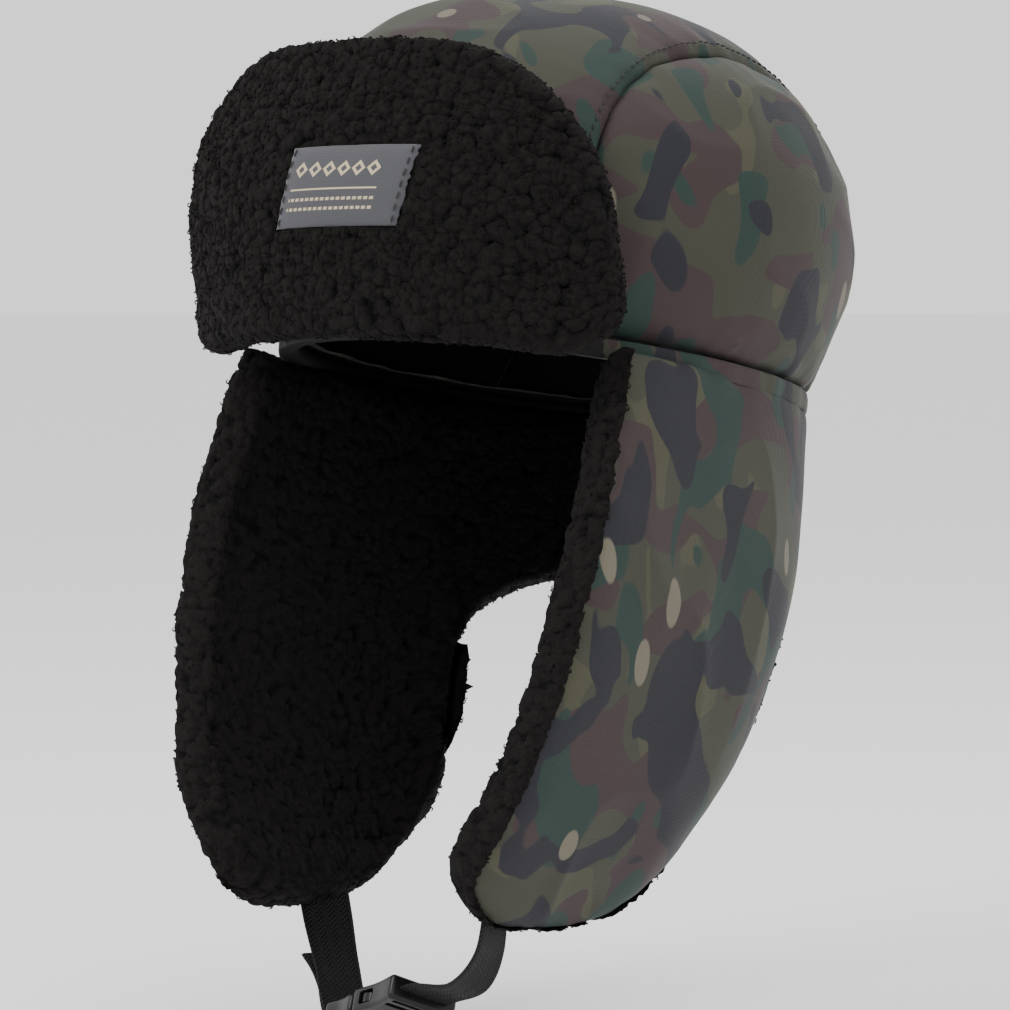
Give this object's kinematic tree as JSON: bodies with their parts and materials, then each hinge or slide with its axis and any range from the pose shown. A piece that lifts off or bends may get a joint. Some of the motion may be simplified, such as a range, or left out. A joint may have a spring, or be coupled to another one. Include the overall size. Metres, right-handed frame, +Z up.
{
  "type": "trapper hat",
  "caption": "Padded trapper hat with folded-up fleece visor, ear flaps that fold up at the sides, nape curtain and a chin strap with a side-release buckle.",
  "frame": {"origin": "middle of the head opening in the plane of the band", "axes": "-Y is the face side, +X the wearer's left, +Z up with the band tipped 11.2 degrees, front high"},
  "size_m": [0.207, 0.2465, 0.3725],
  "materials": {
    "camo_cloth": "matte",
    "lining_cloth": "matte",
    "sherpa_pile": "matte",
    "wadding": "matte",
    "visor_foam": "matte",
    "label_weave": "matte",
    "thread": "matte",
    "webbing": "matte",
    "buckle_plastic": "gloss"
  },
  "bodies": {
    "root": {"crown_top_panel": "camo_cloth", "crown_back_panel": "camo_cloth", "crown_side_panel_left": "camo_cloth", "crown_side_panel_right": "camo_cloth", "crown_wadding": "wadding", "crown_lining": "lining_cloth", "band_strip": "camo_cloth", "neck_flap_shell": "camo_cloth", "neck_flap_wadding": "wadding", "neck_flap_sherpa": "sherpa_pile"},
    "visor": {"visor_shell": "camo_cloth", "visor_board": "visor_foam", "visor_sherpa": "sherpa_pile", "visor_label": "label_weave", "visor_label_stitches": "thread"},
    "ear_flap_left": {"ear_flap_left_shell": "camo_cloth", "ear_flap_left_wadding": "wadding", "ear_flap_left_sherpa": "sherpa_pile", "strap_left": "webbing", "buckle_socket": "buckle_plastic"},
    "ear_flap_right": {"ear_flap_right_shell": "camo_cloth", "ear_flap_right_wadding": "wadding", "ear_flap_right_sherpa": "sherpa_pile", "strap_right": "webbing", "buckle_catch": "buckle_plastic"},
    "buckle_prong_front": {"buckle_prong_front": "buckle_plastic"},
    "buckle_prong_rear": {"buckle_prong_rear": "buckle_plastic"},
    "strap_tail": {"strap_tail": "webbing"}
  },
  "joints": [
    {"name": "visor_fold", "type": "hinge", "parent": "root", "child": "visor", "pos_m": [0, -0.09749, 0.01217], "axis": [1, 0, 0], "range_deg": [0, 120]},
    {"name": "ear_flap_left_fold", "type": "hinge", "parent": "root", "child": "ear_flap_left", "pos_m": [0.0935, -0.00058, -0.00294], "axis": [0, -0.981, 0.1942], "range_deg": [0, 155]},
    {"name": "ear_flap_right_fold", "type": "hinge", "parent": "root", "child": "ear_flap_right", "pos_m": [-0.0935, -0.00058, -0.00294], "axis": [0, 0.981, -0.1942], "range_deg": [0, 155]},
    {"name": "prong_front_squeeze", "type": "hinge", "parent": "ear_flap_right", "child": "buckle_prong_front", "pos_m": [-0.01236, -0.09186, -0.21701], "axis": [-0.168, 0.4754, 0.8636], "range_deg": [0, 10], "stiffness_Nm_per_rad": 0.02},
    {"name": "prong_rear_squeeze", "type": "hinge", "parent": "ear_flap_right", "child": "buckle_prong_rear", "pos_m": [-0.00575, -0.07821, -0.22324], "axis": [0.168, -0.4754, -0.8636], "range_deg": [0, 10], "stiffness_Nm_per_rad": 0.02},
    {"name": "strap_adjust", "type": "slide", "parent": "ear_flap_right", "child": "strap_tail", "axis": [-0.7391, 0.3328, 0.5856], "range_m": [0, 0.015]}
  ],
  "couplings": [
    {"joint": "prong_rear_squeeze", "follows": "prong_front_squeeze", "ratio": 1}
  ]
}
